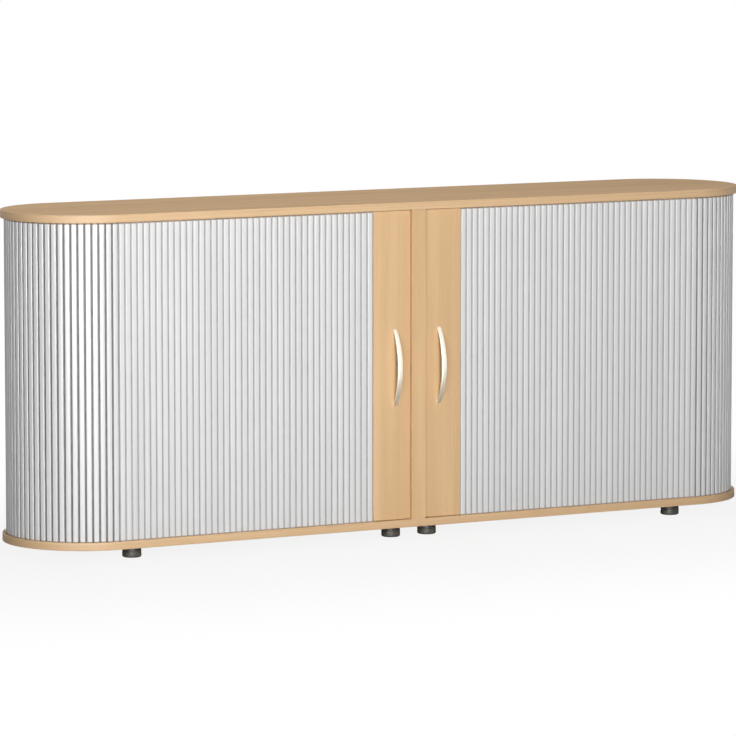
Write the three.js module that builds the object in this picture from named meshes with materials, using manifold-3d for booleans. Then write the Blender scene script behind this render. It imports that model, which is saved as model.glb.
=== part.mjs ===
import * as THREE from 'three';
import { mergeVertices } from 'three/addons/utils/BufferGeometryUtils.js';
import Module from 'manifold-3d';

// A long, low office sideboard with round ends and two sliding tambour doors.
// X runs along the length, the front faces -Y and Z points up.
// The origin lies on the floor, under the middle of all that is built, handles included.
// All sizes are in millimetres.

// Overall size
const cabinetLength = 2000;
const cabinetDepth = 400;
const cabinetHeight = 820;

// Top and bottom panels, with a solid band glued round their edge
const panelThickness = 19;
const edgeBandThickness = 2;
const edgeBandRound = 1;

// Carcass boards
const partitionThickness = 38;
const endWallThickness = 19;
const backPanelThickness = 8;
const innerBackThickness = 8;
const innerBackGap = 0.8;
const wallSetback = 13;

// Shelves and the pins that carry them
const shelfThickness = 19;
const shelfHeight = 404;
const shelfEndGap = 0.8;
const shelfBackGap = 0.8;
const shelfFrontSetback = 5;
const pinShankDiameter = 5;
const pinShankLength = 8;
const pinTongueLength = 9;
const pinTongueWidth = 8;
const pinTongueThickness = 5;
const pinRowInset = 37;
const pinHolePitch = 32;

// Curtain of slats. The hinges between them are drawn as one web at their back
const curtainInset = 9;
const slatPitch = 16.1;
const slatFaceWidth = 12;
const slatDepth = 8;
const slatShoulder = 2;
const webThickness = 4.2;

// Track channels let into the panels
const trackDepth = 9;
const trackWall = 1.5;
const trackClearance = 0.6;
const curtainTopPlay = 1.5;

// Lead rails and the guide shoes in their ends
const leadRailWidth = 101;
const leadRailThickness = 18;
const leadRailRound = 1.5;
const leadRailEndGap = 1.2;
const leadRailClosingGap = 0.8;
const shoeLength = 80;
const shoeTenonThickness = 5;
const shoeTenonHeight = 14;
const shoeSetback = 2.5;

// Bow handles and their screws
const handleLength = 188;
const handleReach = 29;
const handleWidth = 14;
const handleEndWidth = 9;
const handleThickness = 7;
const handleEndThickness = 5;
const handleScrewSpacing = 160;
const handleBossDiameter = 7.5;
const handleBelowMiddle = 5;
const handleFromClosingEdge = 41;
const handleHoleDepth = 4;
const screwDiameter = 4;
const screwHeadDiameter = 8;
const screwHeadHeight = 2.4;
const screwBite = 3.2;

// Levelling feet
const footHeight = 27;
const footDiameter = 46;
const footPadHeight = 13;
const footPadRound = 4;
const footTaper = 1.5;
const footStemDiameter = 9;
const footStemRise = 8;
const footFromWall = 31;
const footFromFront = 52;

// Clearances shared by every seat and cut
const seatGap = 0.3;
const cutOverrun = 5;

// Counts
const bendSegments = 24;
const holesEachWay = 2;
const holeSides = 6;
const footSides = 12;
const handleRings = 16;
const handleSides = 10;
const screwSides = 8;
const roundSteps = 2;

// Share of an ellipse's roundness that the handles' section keeps: 0 would make a rectangle
const handleRoundnessShare = 0.55;

// Places that follow from the sizes above
const endRadius = cabinetDepth / 2;
const bendStart = cabinetLength / 2 - endRadius;
const floorOfBox = footHeight + panelThickness;
const roofOfBox = cabinetHeight - panelThickness;
const partitionFace = partitionThickness / 2;
const endWallFace = bendStart - endWallThickness;

const curtainFace = endRadius - curtainInset;
const curtainBack = curtainFace - slatDepth;
const trackInside = curtainBack - trackClearance - trackWall;
const trackOutside = curtainFace + trackClearance + trackWall;
const trackSlotDepth = trackDepth - trackWall;
const curtainFoot = floorOfBox - trackSlotDepth + seatGap;
const curtainTop = roofOfBox + trackSlotDepth - curtainTopPlay;

const backPanelFront = endRadius - backPanelThickness;
const innerBackRear = trackInside - innerBackGap;
const innerBackFront = innerBackRear - innerBackThickness;
const wallFront = curtainBack - wallSetback;
const shelfTop = shelfHeight + shelfThickness;
const shelfFront = wallFront - shelfFrontSetback;
const shelfBack = innerBackFront - shelfBackGap;

const railInnerEdge = partitionFace + leadRailClosingGap;
const railOuterEdge = railInnerEdge + leadRailWidth;
const railBack = curtainFace - leadRailThickness;
const railFoot = floorOfBox + leadRailEndGap;
const railTop = roofOfBox - leadRailEndGap;

const handleX = railInnerEdge + handleFromClosingEdge;
const handleZ = (floorOfBox + roofOfBox) / 2 - handleBelowMiddle;

const wood = { roughness: 0.5, metalness: 0 };
const beech = new THREE.MeshStandardMaterial({ color: 0xc8a478, ...wood });
const beechBand = new THREE.MeshStandardMaterial({ color: 0xdeba92, ...wood });
const beechRail = new THREE.MeshStandardMaterial({ color: 0xdcb98e, ...wood });
const slatPlastic = new THREE.MeshStandardMaterial({ color: 0xd6d7d9, roughness: 0.42, metalness: 0 });
const trackPlastic = new THREE.MeshStandardMaterial({ color: 0x8f9194, roughness: 0.55, metalness: 0 });
const shoePlastic = new THREE.MeshStandardMaterial({ color: 0x2a2a2c, roughness: 0.55, metalness: 0 });
const handleMetal = new THREE.MeshStandardMaterial({ color: 0xf1ede2, roughness: 0.3, metalness: 0.6 });
const steel = new THREE.MeshStandardMaterial({ color: 0xb5b8bb, roughness: 0.35, metalness: 1 });
const footPlastic = new THREE.MeshStandardMaterial({ color: 0x2b2b2d, roughness: 0.5, metalness: 0 });

const wasm = await Module();
wasm.setup();

// The handles stand out in front, so the panels' middle line lies half their reach behind the origin
const cabinet = new THREE.Group();
cabinet.name = 'tambour_sideboard';
cabinet.position.y = (handleReach - curtainInset) / 2;

function addPart(name, geometry, material) {
  const mesh = new THREE.Mesh(geometry, material);
  mesh.name = name;
  cabinet.add(mesh);
}

// Turns a closed three.js geometry into a solid that can be cut and joined
function solidOf(geometry) {
  const bare = geometry.clone();
  bare.deleteAttribute('normal');
  bare.deleteAttribute('uv');
  const merged = mergeVertices(bare);
  return new wasm.Manifold(new wasm.Mesh({
    numProp: 3,
    vertProperties: new Float32Array(merged.attributes.position.array),
    triVerts: new Uint32Array(merged.index.array),
  }));
}

function geometryOf(solid) {
  const mesh = solid.getMesh();
  const geometry = new THREE.BufferGeometry();
  geometry.setAttribute('position', new THREE.BufferAttribute(new Float32Array(mesh.vertProperties), 3));
  geometry.setIndex(new THREE.BufferAttribute(new Uint32Array(mesh.triVerts), 1));
  geometry.computeVertexNormals();
  return geometry;
}

function cutAway(geometry, cutters) {
  let solid = solidOf(geometry);
  for (const cutter of cutters) {
    solid = solid.subtract(solidOf(cutter));
  }
  return geometryOf(solid);
}

// Extrudes an outline in plan between two heights, with both end faces exactly on them
function extrudeBetween(outline, low, high) {
  const geometry = new THREE.ExtrudeGeometry(outline, { depth: high - low, bevelEnabled: false });
  const places = geometry.attributes.position;
  for (let i = 0; i < places.count; i += 1) {
    places.setZ(i, places.getZ(i) > 0 ? high : low);
  }
  return geometry;
}

function outlineOf(points) {
  return new THREE.Shape(points.map(([x, y]) => new THREE.Vector2(x, y)));
}

function board([x0, x1], [y0, y1], [z0, z1]) {
  return extrudeBetween(outlineOf([[x0, y0], [x1, y0], [x1, y1], [x0, y1]]), z0, z1);
}

// The spans between two places measured from the middle, on the chosen side
function span(side, near, far) {
  return side > 0 ? [near, far] : [-far, -near];
}

// Points of a quarter round from one axis direction to the next
function quarterRound(centreX, centreY, radius, startAngle) {
  const points = [];
  for (let i = 0; i <= roundSteps; i += 1) {
    const angle = startAngle + (i / roundSteps) * (Math.PI / 2);
    points.push([centreX + radius * Math.cos(angle), centreY + radius * Math.sin(angle)]);
  }
  return points;
}

// Turns a profile of radius and height about an upright axis at x, y
function turned(profile, sides, x, y) {
  const points = profile.map(([radius, height]) => new THREE.Vector2(radius, height));
  const geometry = new THREE.LatheGeometry(points, sides);
  geometry.rotateX(Math.PI / 2);
  geometry.translate(x, y, 0);
  return geometry;
}

// Stations round one half of the cabinet, from the front of the partition to its back.
// Each has a point on the long middle line of the plan and the direction that points outward.
function halfStations(side, inner) {
  const stations = [{ x: side * inner, y: 0, outX: 0, outY: -1 }];
  for (let i = 0; i <= bendSegments; i += 1) {
    const angle = (i / bendSegments) * Math.PI;
    stations.push({
      x: side * bendStart,
      y: 0,
      outX: side * Math.sin(angle),
      outY: -Math.cos(angle),
    });
  }
  stations.push({ x: side * inner, y: 0, outX: 0, outY: 1 });
  return stations;
}

// Stations all the way round the plan
function roundStations() {
  const right = halfStations(1, 0).slice(1, -1);
  const left = halfStations(-1, 0).slice(1, -1).reverse();
  return [...right, ...left];
}

// Sweeps a closed outline of reach and height along stations. The ends are capped, or joined.
function sweepRound(outline, stations, joined) {
  const contourOf = (points) => points.map(([reach, height]) => new THREE.Vector2(reach, height));
  const profile = THREE.ShapeUtils.isClockWise(contourOf(outline)) ? [...outline].reverse() : outline;
  const sides = profile.length;
  const vertices = [];
  for (const station of stations) {
    for (const [reach, height] of profile) {
      vertices.push(station.x + station.outX * reach, station.y + station.outY * reach, height);
    }
  }
  const faces = [];
  const spans = joined ? stations.length : stations.length - 1;
  for (let i = 0; i < spans; i += 1) {
    const here = i * sides;
    const next = ((i + 1) % stations.length) * sides;
    for (let j = 0; j < sides; j += 1) {
      const k = (j + 1) % sides;
      faces.push([here + j, next + j, next + k], [here + j, next + k, here + k]);
    }
  }
  if (!joined) {
    const last = (stations.length - 1) * sides;
    for (const [a, b, c] of THREE.ShapeUtils.triangulateShape(contourOf(profile), [])) {
      faces.push([a, b, c], [last + a, last + c, last + b]);
    }
  }
  return closedGeometry(vertices, faces);
}

// A closed mesh from vertices and faces, with its faces turned outward
function closedGeometry(vertices, faces) {
  const corner = (i) => new THREE.Vector3().fromArray(vertices, 3 * i);
  let volume = 0;
  for (const [a, b, c] of faces) {
    volume += corner(a).dot(corner(b).cross(corner(c)));
  }
  const index = volume > 0 ? faces.flat() : faces.flatMap(([a, b, c]) => [a, c, b]);
  const geometry = new THREE.BufferGeometry();
  geometry.setAttribute('position', new THREE.Float32BufferAttribute(vertices, 3));
  geometry.setIndex(index);
  geometry.computeVertexNormals();
  return geometry;
}

// Top and bottom panels
function trackGroove(side, grooveFloor, grooveMouth) {
  const profile = [
    [trackInside - seatGap, grooveFloor],
    [trackOutside + seatGap, grooveFloor],
    [trackOutside + seatGap, grooveMouth],
    [trackInside - seatGap, grooveMouth],
  ];
  return sweepRound(profile, halfStations(side, partitionFace), false);
}

function panelPlate(low, high) {
  const reach = endRadius - edgeBandThickness;
  const points = roundStations().map((s) => [s.x + s.outX * reach, s.y + s.outY * reach]);
  return extrudeBetween(outlineOf(points), low, high);
}

function footPlaces() {
  const places = [];
  for (const y of [-(endRadius - footFromFront), endRadius - footFromFront]) {
    for (const x of [endWallFace - footFromWall, partitionFace + footFromWall]) {
      places.push([-x, y], [x, y]);
    }
  }
  return places;
}

function makePanels() {
  const topGrooveFloor = roofOfBox + trackDepth + seatGap;
  const bottomGrooveFloor = floorOfBox - trackDepth - seatGap;
  const topCuts = [-1, 1].map((side) => trackGroove(side, topGrooveFloor, roofOfBox - cutOverrun));
  const bottomCuts = [-1, 1].map((side) => trackGroove(side, bottomGrooveFloor, floorOfBox + cutOverrun));
  const boreRadius = footStemDiameter / 2 + seatGap;
  const boreProfile = [
    [0, footHeight - cutOverrun],
    [boreRadius, footHeight - cutOverrun],
    [boreRadius, floorOfBox + cutOverrun],
    [0, floorOfBox + cutOverrun],
  ];
  for (const [x, y] of footPlaces()) {
    bottomCuts.push(turned(boreProfile, footSides, x, y));
  }
  addPart('top_panel', cutAway(panelPlate(roofOfBox, cabinetHeight), topCuts), beech);
  addPart('bottom_panel', cutAway(panelPlate(footHeight, floorOfBox), bottomCuts), beech);
}

function makeEdgeBands() {
  const inside = endRadius - edgeBandThickness;
  for (const [name, low, high] of [['top_edge_band', roofOfBox, cabinetHeight],
    ['bottom_edge_band', footHeight, floorOfBox]]) {
    const profile = [
      [inside, low],
      [endRadius - edgeBandRound, low],
      [endRadius, low + edgeBandRound],
      [endRadius, high - edgeBandRound],
      [endRadius - edgeBandRound, high],
      [inside, high],
    ];
    addPart(name, sweepRound(profile, roundStations(), true), beechBand);
  }
}

// Track channels: an upright U that follows the curtain's path in each panel
function makeTracks() {
  for (const [sideName, side] of [['left', -1], ['right', 1]]) {
    for (const [name, mouth, floor] of [['top', roofOfBox, roofOfBox + trackDepth],
      ['bottom', floorOfBox, floorOfBox - trackDepth]]) {
      const slotFloor = floor + Math.sign(mouth - floor) * trackWall;
      const profile = [
        [trackInside, floor],
        [trackOutside, floor],
        [trackOutside, mouth],
        [trackOutside - trackWall, mouth],
        [trackOutside - trackWall, slotFloor],
        [trackInside + trackWall, slotFloor],
        [trackInside + trackWall, mouth],
        [trackInside, mouth],
      ];
      const stations = halfStations(side, partitionFace + seatGap);
      addPart(`${sideName}_${name}_track`, sweepRound(profile, stations, false), trackPlastic);
    }
  }
}

// Pin holes: rows of blind holes in the walls, level with the shelf and above and below it
function pinHole(wallX, direction, y, z) {
  const radius = pinShankDiameter / 2 + seatGap;
  const depth = pinShankLength + seatGap;
  const drill = new THREE.CylinderGeometry(radius, radius, depth + cutOverrun, holeSides);
  drill.rotateZ(Math.PI / 2);
  drill.translate(wallX + direction * (depth - cutOverrun) / 2, y, z);
  return drill;
}

const pinRows = [-(shelfFront - pinRowInset), shelfBack - pinRowInset];
const pinZ = shelfHeight - pinTongueThickness / 2;

function pinHoleRows(wallX, direction) {
  const holes = [];
  for (const y of pinRows) {
    for (let i = -holesEachWay; i <= holesEachWay; i += 1) {
      holes.push(pinHole(wallX, direction, y, pinZ + i * pinHolePitch));
    }
  }
  return holes;
}

// Upright boards of the carcass
function makeBoards() {
  const upright = [floorOfBox, roofOfBox];
  const bandFront = -endRadius;
  const bandBack = bandFront + edgeBandThickness;
  const partition = board([-partitionFace, partitionFace], [bandBack, backPanelFront], upright);
  const partitionHoles = [...pinHoleRows(-partitionFace, 1), ...pinHoleRows(partitionFace, -1)];
  addPart('centre_partition', cutAway(partition, partitionHoles), beech);

  const bandCentre = bandFront + edgeBandRound;
  const bandOutline = [
    ...quarterRound(-partitionFace + edgeBandRound, bandCentre, edgeBandRound, Math.PI),
    ...quarterRound(partitionFace - edgeBandRound, bandCentre, edgeBandRound, -Math.PI / 2),
    [partitionFace, bandBack],
    [-partitionFace, bandBack],
  ];
  addPart('partition_edge_band', extrudeBetween(outlineOf(bandOutline), ...upright), beechBand);

  for (const [sideName, side] of [['left', -1], ['right', 1]]) {
    const wall = board(span(side, endWallFace, bendStart), [-wallFront, innerBackFront], upright);
    addPart(`${sideName}_end_wall`, cutAway(wall, pinHoleRows(side * endWallFace, side)), beech);
    const innerBack = board(span(side, partitionFace, bendStart), [innerBackFront, innerBackRear], upright);
    addPart(`${sideName}_inner_back`, innerBack, beech);
  }
  addPart('back_panel', board([-bendStart, bendStart], [backPanelFront, endRadius], upright), beech);
}

// Shelves and their pins
function shelfPin(wallX, direction, y) {
  const radius = pinShankDiameter / 2;
  const shank = new THREE.CylinderGeometry(radius, radius, pinShankLength + cutOverrun, holeSides);
  shank.rotateZ(Math.PI / 2);
  shank.translate(wallX + direction * (pinShankLength - cutOverrun) / 2, y, pinZ);
  const near = wallX - direction * seatGap;
  const far = wallX - direction * (seatGap + pinTongueLength);
  const nose = pinTongueWidth / 2;
  const noseX = far + direction * nose;
  const points = [[near, y + nose], [near, y - nose]];
  const steps = 2 * roundSteps;
  for (let i = 0; i <= steps; i += 1) {
    const angle = -Math.PI / 2 + (i / steps) * Math.PI;
    points.push([noseX - direction * nose * Math.cos(angle), y + nose * Math.sin(angle)]);
  }
  const tongue = extrudeBetween(outlineOf(points), shelfHeight - pinTongueThickness, shelfHeight);
  return geometryOf(solidOf(tongue).add(solidOf(shank)));
}

function makeShelves() {
  for (const [sideName, side] of [['left', -1], ['right', 1]]) {
    const width = span(side, partitionFace + shelfEndGap, endWallFace - shelfEndGap);
    addPart(`${sideName}_shelf`, board(width, [-shelfFront, shelfBack], [shelfHeight, shelfTop]), beech);
    let number = 0;
    for (const [wallX, direction] of [[side * partitionFace, -side], [side * endWallFace, side]]) {
      for (const y of pinRows) {
        number += 1;
        addPart(`${sideName}_shelf_pin_${number}`, shelfPin(wallX, direction, y), steel);
      }
    }
  }
}

// One slat's outer profile, as distance along the curtain and height over the web's back:
// a flat face with a rounded shoulder on each side
function slatProfile() {
  const half = slatFaceWidth / 2;
  const shoulderX = half - slatShoulder;
  const shoulderY = slatDepth - slatShoulder;
  return [
    [-half, webThickness],
    ...quarterRound(-shoulderX, shoulderY, slatShoulder, Math.PI / 2).reverse(),
    ...quarterRound(shoulderX, shoulderY, slatShoulder, 0).reverse(),
    [half, webThickness],
  ];
}

// A straight run of slats along the front, between two places measured from the middle
function straightCurtain(side, near, far) {
  const count = Math.round((far - near) / slatPitch);
  const pitch = (far - near) / count;
  const outer = [[near, webThickness]];
  for (let i = 0; i < count; i += 1) {
    const centre = near + (i + 0.5) * pitch;
    outer.push(...slatProfile().map(([along, height]) => [centre + along, height]));
  }
  outer.push([far, webThickness]);
  const inner = [[far, 0], [near, 0]];
  const points = [...outer, ...inner].map(([along, height]) => [side * along, -(curtainBack + height)]);
  return extrudeBetween(outlineOf(points), curtainFoot, curtainTop);
}

// A run of slats round the end, between two angles measured from the front.
// The web keeps the pitch, and the grooves between the faces open with the bend.
function bentCurtain(side, startAngle, endAngle) {
  const trim = seatGap / 2 / curtainBack;
  const from = startAngle + trim;
  const to = endAngle - trim;
  const count = Math.round(((to - from) * curtainBack) / slatPitch);
  const step = (to - from) / count;
  const at = (angle, along, height) => {
    const reach = curtainBack + height;
    const x = bendStart + Math.sin(angle) * reach + Math.cos(angle) * along;
    const y = -Math.cos(angle) * reach + Math.sin(angle) * along;
    return [side * x, y];
  };
  const outer = [at(from, 0, webThickness)];
  const inner = [at(from, 0, 0)];
  for (let i = 0; i < count; i += 1) {
    const middle = from + (i + 0.5) * step;
    outer.push(...slatProfile().map(([along, height]) => at(middle, along, height)));
    inner.push(at(from + (i + 1) * step, 0, 0));
  }
  outer.push(at(to, 0, webThickness));
  return extrudeBetween(outlineOf([...outer, ...inner.reverse()]), curtainFoot, curtainTop);
}

function makeCurtains() {
  for (const [sideName, side] of [['left', -1], ['right', 1]]) {
    const front = straightCurtain(side, railOuterEdge + seatGap, bendStart - seatGap / 2);
    addPart(`${sideName}_curtain_front`, front, slatPlastic);
    addPart(`${sideName}_curtain_bend_front`, bentCurtain(side, 0, Math.PI / 2), slatPlastic);
    addPart(`${sideName}_curtain_bend_rear`, bentCurtain(side, Math.PI / 2, Math.PI), slatPlastic);
  }
}

// Lead rails: the stiff strip at the front of each curtain, with a mortise for a shoe at each end
function shoeSpan(side) {
  const middle = (railInnerEdge + railOuterEdge) / 2;
  return span(side, middle - shoeLength / 2, middle + shoeLength / 2);
}

function leadRail(side) {
  const [x0, x1] = span(side, railInnerEdge, railOuterEdge);
  const roundY = -curtainFace + leadRailRound;
  const outline = [
    ...quarterRound(x0 + leadRailRound, roundY, leadRailRound, Math.PI),
    ...quarterRound(x1 - leadRailRound, roundY, leadRailRound, -Math.PI / 2),
    [x1, -railBack],
    [x0, -railBack],
  ];
  const rail = extrudeBetween(outlineOf(outline), railFoot, railTop);

  const [shoe0, shoe1] = shoeSpan(side);
  const mortiseX = [shoe0 - seatGap, shoe1 + seatGap];
  const tenonFront = -curtainFace + shoeSetback;
  const mortiseY = [tenonFront - seatGap, tenonFront + shoeTenonThickness + seatGap];
  const reach = shoeTenonHeight + seatGap;
  const cuts = [
    board(mortiseX, mortiseY, [railFoot - cutOverrun, railFoot + reach]),
    board(mortiseX, mortiseY, [railTop - reach, railTop + cutOverrun]),
  ];
  for (const z of handleScrewHeights()) {
    const radius = screwDiameter / 2 + seatGap;
    const depth = leadRailThickness + 2 * cutOverrun;
    const drill = new THREE.CylinderGeometry(radius, radius, depth, screwSides);
    drill.translate(side * handleX, -(railBack + curtainFace) / 2, z);
    cuts.push(drill);
  }
  return cutAway(rail, cuts);
}

// Guide shoes: a tenon in the rail and a runner in the track, extruded along the rail
function guideShoe(side, railEnd, slotEnd) {
  const inward = Math.sign(railEnd - slotEnd);
  const tenonEnd = railEnd + inward * shoeTenonHeight;
  const tenonFront = -curtainFace + shoeSetback;
  const tenonBack = tenonFront + shoeTenonThickness;
  const outline = [
    [-curtainFace, slotEnd],
    [-curtainBack, slotEnd],
    [-curtainBack, railEnd - inward * seatGap],
    [tenonBack, railEnd - inward * seatGap],
    [tenonBack, tenonEnd],
    [tenonFront, tenonEnd],
    [tenonFront, railEnd - inward * seatGap],
    [-curtainFace, railEnd - inward * seatGap],
  ];
  const [x0, x1] = shoeSpan(side);
  const geometry = new THREE.ExtrudeGeometry(outlineOf(outline), { depth: x1 - x0, bevelEnabled: false });
  const places = geometry.attributes.position;
  for (let i = 0; i < places.count; i += 1) {
    const along = places.getZ(i) > 0 ? x1 : x0;
    places.setXYZ(i, along, places.getX(i), places.getY(i));
  }
  return geometry;
}

// Bow handles: an arc whose section swells towards the middle, cut flat where it meets the rail.
// The outer side is a true arc, and a boss round each screw fills the wedge behind it.
// The section is a rectangle with well rounded corners.
function handleScrewHeights() {
  return [handleZ - handleScrewSpacing / 2, handleZ + handleScrewSpacing / 2];
}

function squaredUp(value) {
  return Math.sign(value) * Math.abs(value) ** handleRoundnessShare;
}

function bowHandle(side) {
  const halfChord = handleLength / 2;
  const radius = (halfChord * halfChord + handleReach * handleReach) / (2 * handleReach);
  const halfAngle = Math.asin(halfChord / radius) + handleEndThickness / radius;
  const centreY = -curtainFace - handleReach + radius;
  const vertices = [];
  for (let i = 0; i < handleRings; i += 1) {
    const share = (2 * i) / (handleRings - 1) - 1;
    const angle = share * halfAngle;
    const swell = Math.cos((share * Math.PI) / 2);
    const halfWidth = (handleEndWidth + (handleWidth - handleEndWidth) * swell) / 2;
    const halfThick = (handleEndThickness + (handleThickness - handleEndThickness) * swell) / 2;
    for (let j = 0; j < handleSides; j += 1) {
      const turn = (j / handleSides) * 2 * Math.PI;
      const reach = radius - halfThick * (1 - squaredUp(Math.sin(turn)));
      vertices.push(
        side * handleX + halfWidth * squaredUp(Math.cos(turn)),
        centreY - reach * Math.cos(angle),
        handleZ + reach * Math.sin(angle),
      );
    }
  }
  const faces = [];
  const last = (handleRings - 1) * handleSides;
  for (let j = 0; j < handleSides; j += 1) {
    const k = (j + 1) % handleSides;
    for (let i = 0; i < handleRings - 1; i += 1) {
      const here = i * handleSides;
      const next = here + handleSides;
      faces.push([here + j, here + k, next + k], [here + j, next + k, next + j]);
    }
  }
  for (let j = 1; j < handleSides - 1; j += 1) {
    faces.push([0, j + 1, j], [last, last + j, last + j + 1]);
  }
  let bow = solidOf(closedGeometry(vertices, faces));

  for (const z of handleScrewHeights()) {
    const bossRadius = handleBossDiameter / 2;
    const boss = new THREE.CylinderGeometry(bossRadius, bossRadius, handleHoleDepth, screwSides);
    boss.translate(side * handleX, -curtainFace - handleHoleDepth / 2, z);
    bow = bow.add(solidOf(boss));
  }
  for (const z of handleScrewHeights()) {
    const drillRadius = screwDiameter / 2 + seatGap;
    const drillLength = handleHoleDepth + cutOverrun;
    const drill = new THREE.CylinderGeometry(drillRadius, drillRadius, drillLength, screwSides);
    drill.translate(side * handleX, -curtainFace + cutOverrun - drillLength / 2, z);
    bow = bow.subtract(solidOf(drill));
  }
  const behind = board(
    span(side, handleX - handleWidth, handleX + handleWidth),
    [-curtainFace, -curtainFace + handleLength],
    [handleZ - handleLength, handleZ + handleLength],
  );
  return geometryOf(bow.subtract(solidOf(behind)));
}

// Screws go in from behind the rail, with a domed head
function handleScrew(side, z) {
  const radius = screwDiameter / 2;
  const headRadius = screwHeadDiameter / 2;
  const headSeat = -seatGap;
  const dome = screwHeadHeight / 2;
  const profile = [[0, headSeat - screwHeadHeight]];
  for (let i = 1; i <= roundSteps; i += 1) {
    const angle = (i / roundSteps) * (Math.PI / 2);
    profile.push([headRadius * Math.sin(angle), headSeat - screwHeadHeight + dome * (1 - Math.cos(angle))]);
  }
  profile.push(
    [headRadius, headSeat],
    [radius, headSeat],
    [radius, leadRailThickness + screwBite - radius / 2],
    [radius / 2, leadRailThickness + screwBite],
    [0, leadRailThickness + screwBite],
  );
  const points = profile.map(([reach, along]) => new THREE.Vector2(reach, along));
  const geometry = new THREE.LatheGeometry(points, screwSides);
  geometry.rotateX(Math.PI);
  geometry.translate(side * handleX, -railBack, z);
  return geometry;
}

function makeDoors() {
  for (const [sideName, side] of [['left', -1], ['right', 1]]) {
    addPart(`${sideName}_lead_rail`, leadRail(side), beechRail);
    addPart(`${sideName}_bottom_shoe`, guideShoe(side, railFoot, curtainFoot), shoePlastic);
    addPart(`${sideName}_top_shoe`, guideShoe(side, railTop, curtainTop), shoePlastic);
    addPart(`${sideName}_handle`, bowHandle(side), handleMetal);
    const [lower, upper] = handleScrewHeights();
    addPart(`${sideName}_handle_screw_lower`, handleScrew(side, lower), steel);
    addPart(`${sideName}_handle_screw_upper`, handleScrew(side, upper), steel);
  }
}

// Levelling feet: a socket under the panel and a pad whose stem screws up through it
function makeFeet() {
  const radius = footDiameter / 2;
  const stemRadius = footStemDiameter / 2;
  const boreRadius = stemRadius + seatGap;
  const socketFoot = footPadHeight + seatGap;
  const socketProfile = [
    [boreRadius, socketFoot],
    [radius, socketFoot],
    [radius - footTaper, footHeight],
    [boreRadius, footHeight],
    [boreRadius, socketFoot],
  ];
  const padProfile = [
    [0, 0],
    ...quarterRound(radius - footPadRound, footPadRound, footPadRound, -Math.PI / 2),
    [radius, footPadHeight],
    [stemRadius, footPadHeight],
    [stemRadius, footHeight + footStemRise],
    [0, footHeight + footStemRise],
  ];
  footPlaces().forEach(([x, y], i) => {
    addPart(`foot_socket_${i + 1}`, turned(socketProfile, footSides, x, y), footPlastic);
    addPart(`foot_pad_${i + 1}`, turned(padProfile, footSides, x, y), footPlastic);
  });
}

makePanels();
makeEdgeBands();
makeTracks();
makeBoards();
makeShelves();
makeCurtains();
makeDoors();
makeFeet();

export default cabinet;
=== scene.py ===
# %% [markdown]
# # A tambour sideboard with round ends
#
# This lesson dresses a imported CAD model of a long, low office sideboard. Two tambour doors, which
# are curtains of narrow plastic slats, start beside a thick centre partition, run along the front
# and go round the half-round ends. The frame already holds every piece at its real size, in metres,
# with X along the length, the front towards -Y and Z up. What is left to do is the looks: finer
# meshes for the pieces that show, and finishes with the detail of the real ones.

# %% Load the frame
import math

import bmesh
import bpy
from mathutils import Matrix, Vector


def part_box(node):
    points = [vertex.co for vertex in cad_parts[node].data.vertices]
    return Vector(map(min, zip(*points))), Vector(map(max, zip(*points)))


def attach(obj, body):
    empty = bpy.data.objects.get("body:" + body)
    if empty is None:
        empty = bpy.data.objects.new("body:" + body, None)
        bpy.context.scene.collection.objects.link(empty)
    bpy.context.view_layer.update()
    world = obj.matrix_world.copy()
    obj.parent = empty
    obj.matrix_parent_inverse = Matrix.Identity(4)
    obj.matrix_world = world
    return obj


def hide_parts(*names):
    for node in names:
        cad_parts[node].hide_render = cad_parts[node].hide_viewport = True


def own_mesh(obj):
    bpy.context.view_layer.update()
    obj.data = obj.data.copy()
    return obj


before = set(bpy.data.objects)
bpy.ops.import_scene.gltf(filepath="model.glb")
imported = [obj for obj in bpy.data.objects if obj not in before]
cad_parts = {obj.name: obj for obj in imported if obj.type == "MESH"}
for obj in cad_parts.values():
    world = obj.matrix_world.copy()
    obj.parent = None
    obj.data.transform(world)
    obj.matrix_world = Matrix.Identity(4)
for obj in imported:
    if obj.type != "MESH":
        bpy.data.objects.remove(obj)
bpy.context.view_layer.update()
print("nodes:", len(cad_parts))

# %% [markdown]
# Every place in this lesson is read from the frame, so the fine pieces land where the plain ones
# are. The edge band of the top panel gives the plan: a long shape with a half circle at each end.
# The middle line of that shape lies a little behind the origin, because the handles stand out in
# front and the origin is the middle of everything. The bands' inner levels are the roof and the
# floor of the space between the panels.

# %% Read the plan of the cabinet from the frame
MM = 0.001
SIDES = {"left": -1, "right": 1}

band_low, band_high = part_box("top_edge_band")
half_length = (band_high.x - band_low.x) / 2
end_radius = (band_high.y - band_low.y) / 2
middle_y = (band_high.y + band_low.y) / 2
bend_start = half_length - end_radius
box_roof = band_low.z
box_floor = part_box("bottom_edge_band")[1].z
print(f"plan {2 * half_length:.3f} by {2 * end_radius:.3f} m, bends start at {bend_start:.3f} m")

# %% [markdown]
# The camera comes first, because it decides which details can be seen. The photograph was taken
# with a long lens from the front left, a little above the top panel: the upright edges stay almost
# parallel and the top shows as a thin band. The position was found by matching the outline of the
# plan, and the lens has no shift, so the same camera serves for every other view.

# %% Place the camera
CAMERA_PLACE = (-5.7346, -10.5567, 1.7581)
CAMERA_YAW = 0.49481
CAMERA_PITCH = 0.11285
CAMERA_LENS = 240.22
SENSOR_WIDTH = 36
FARTHEST_SEEN = 200

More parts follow.
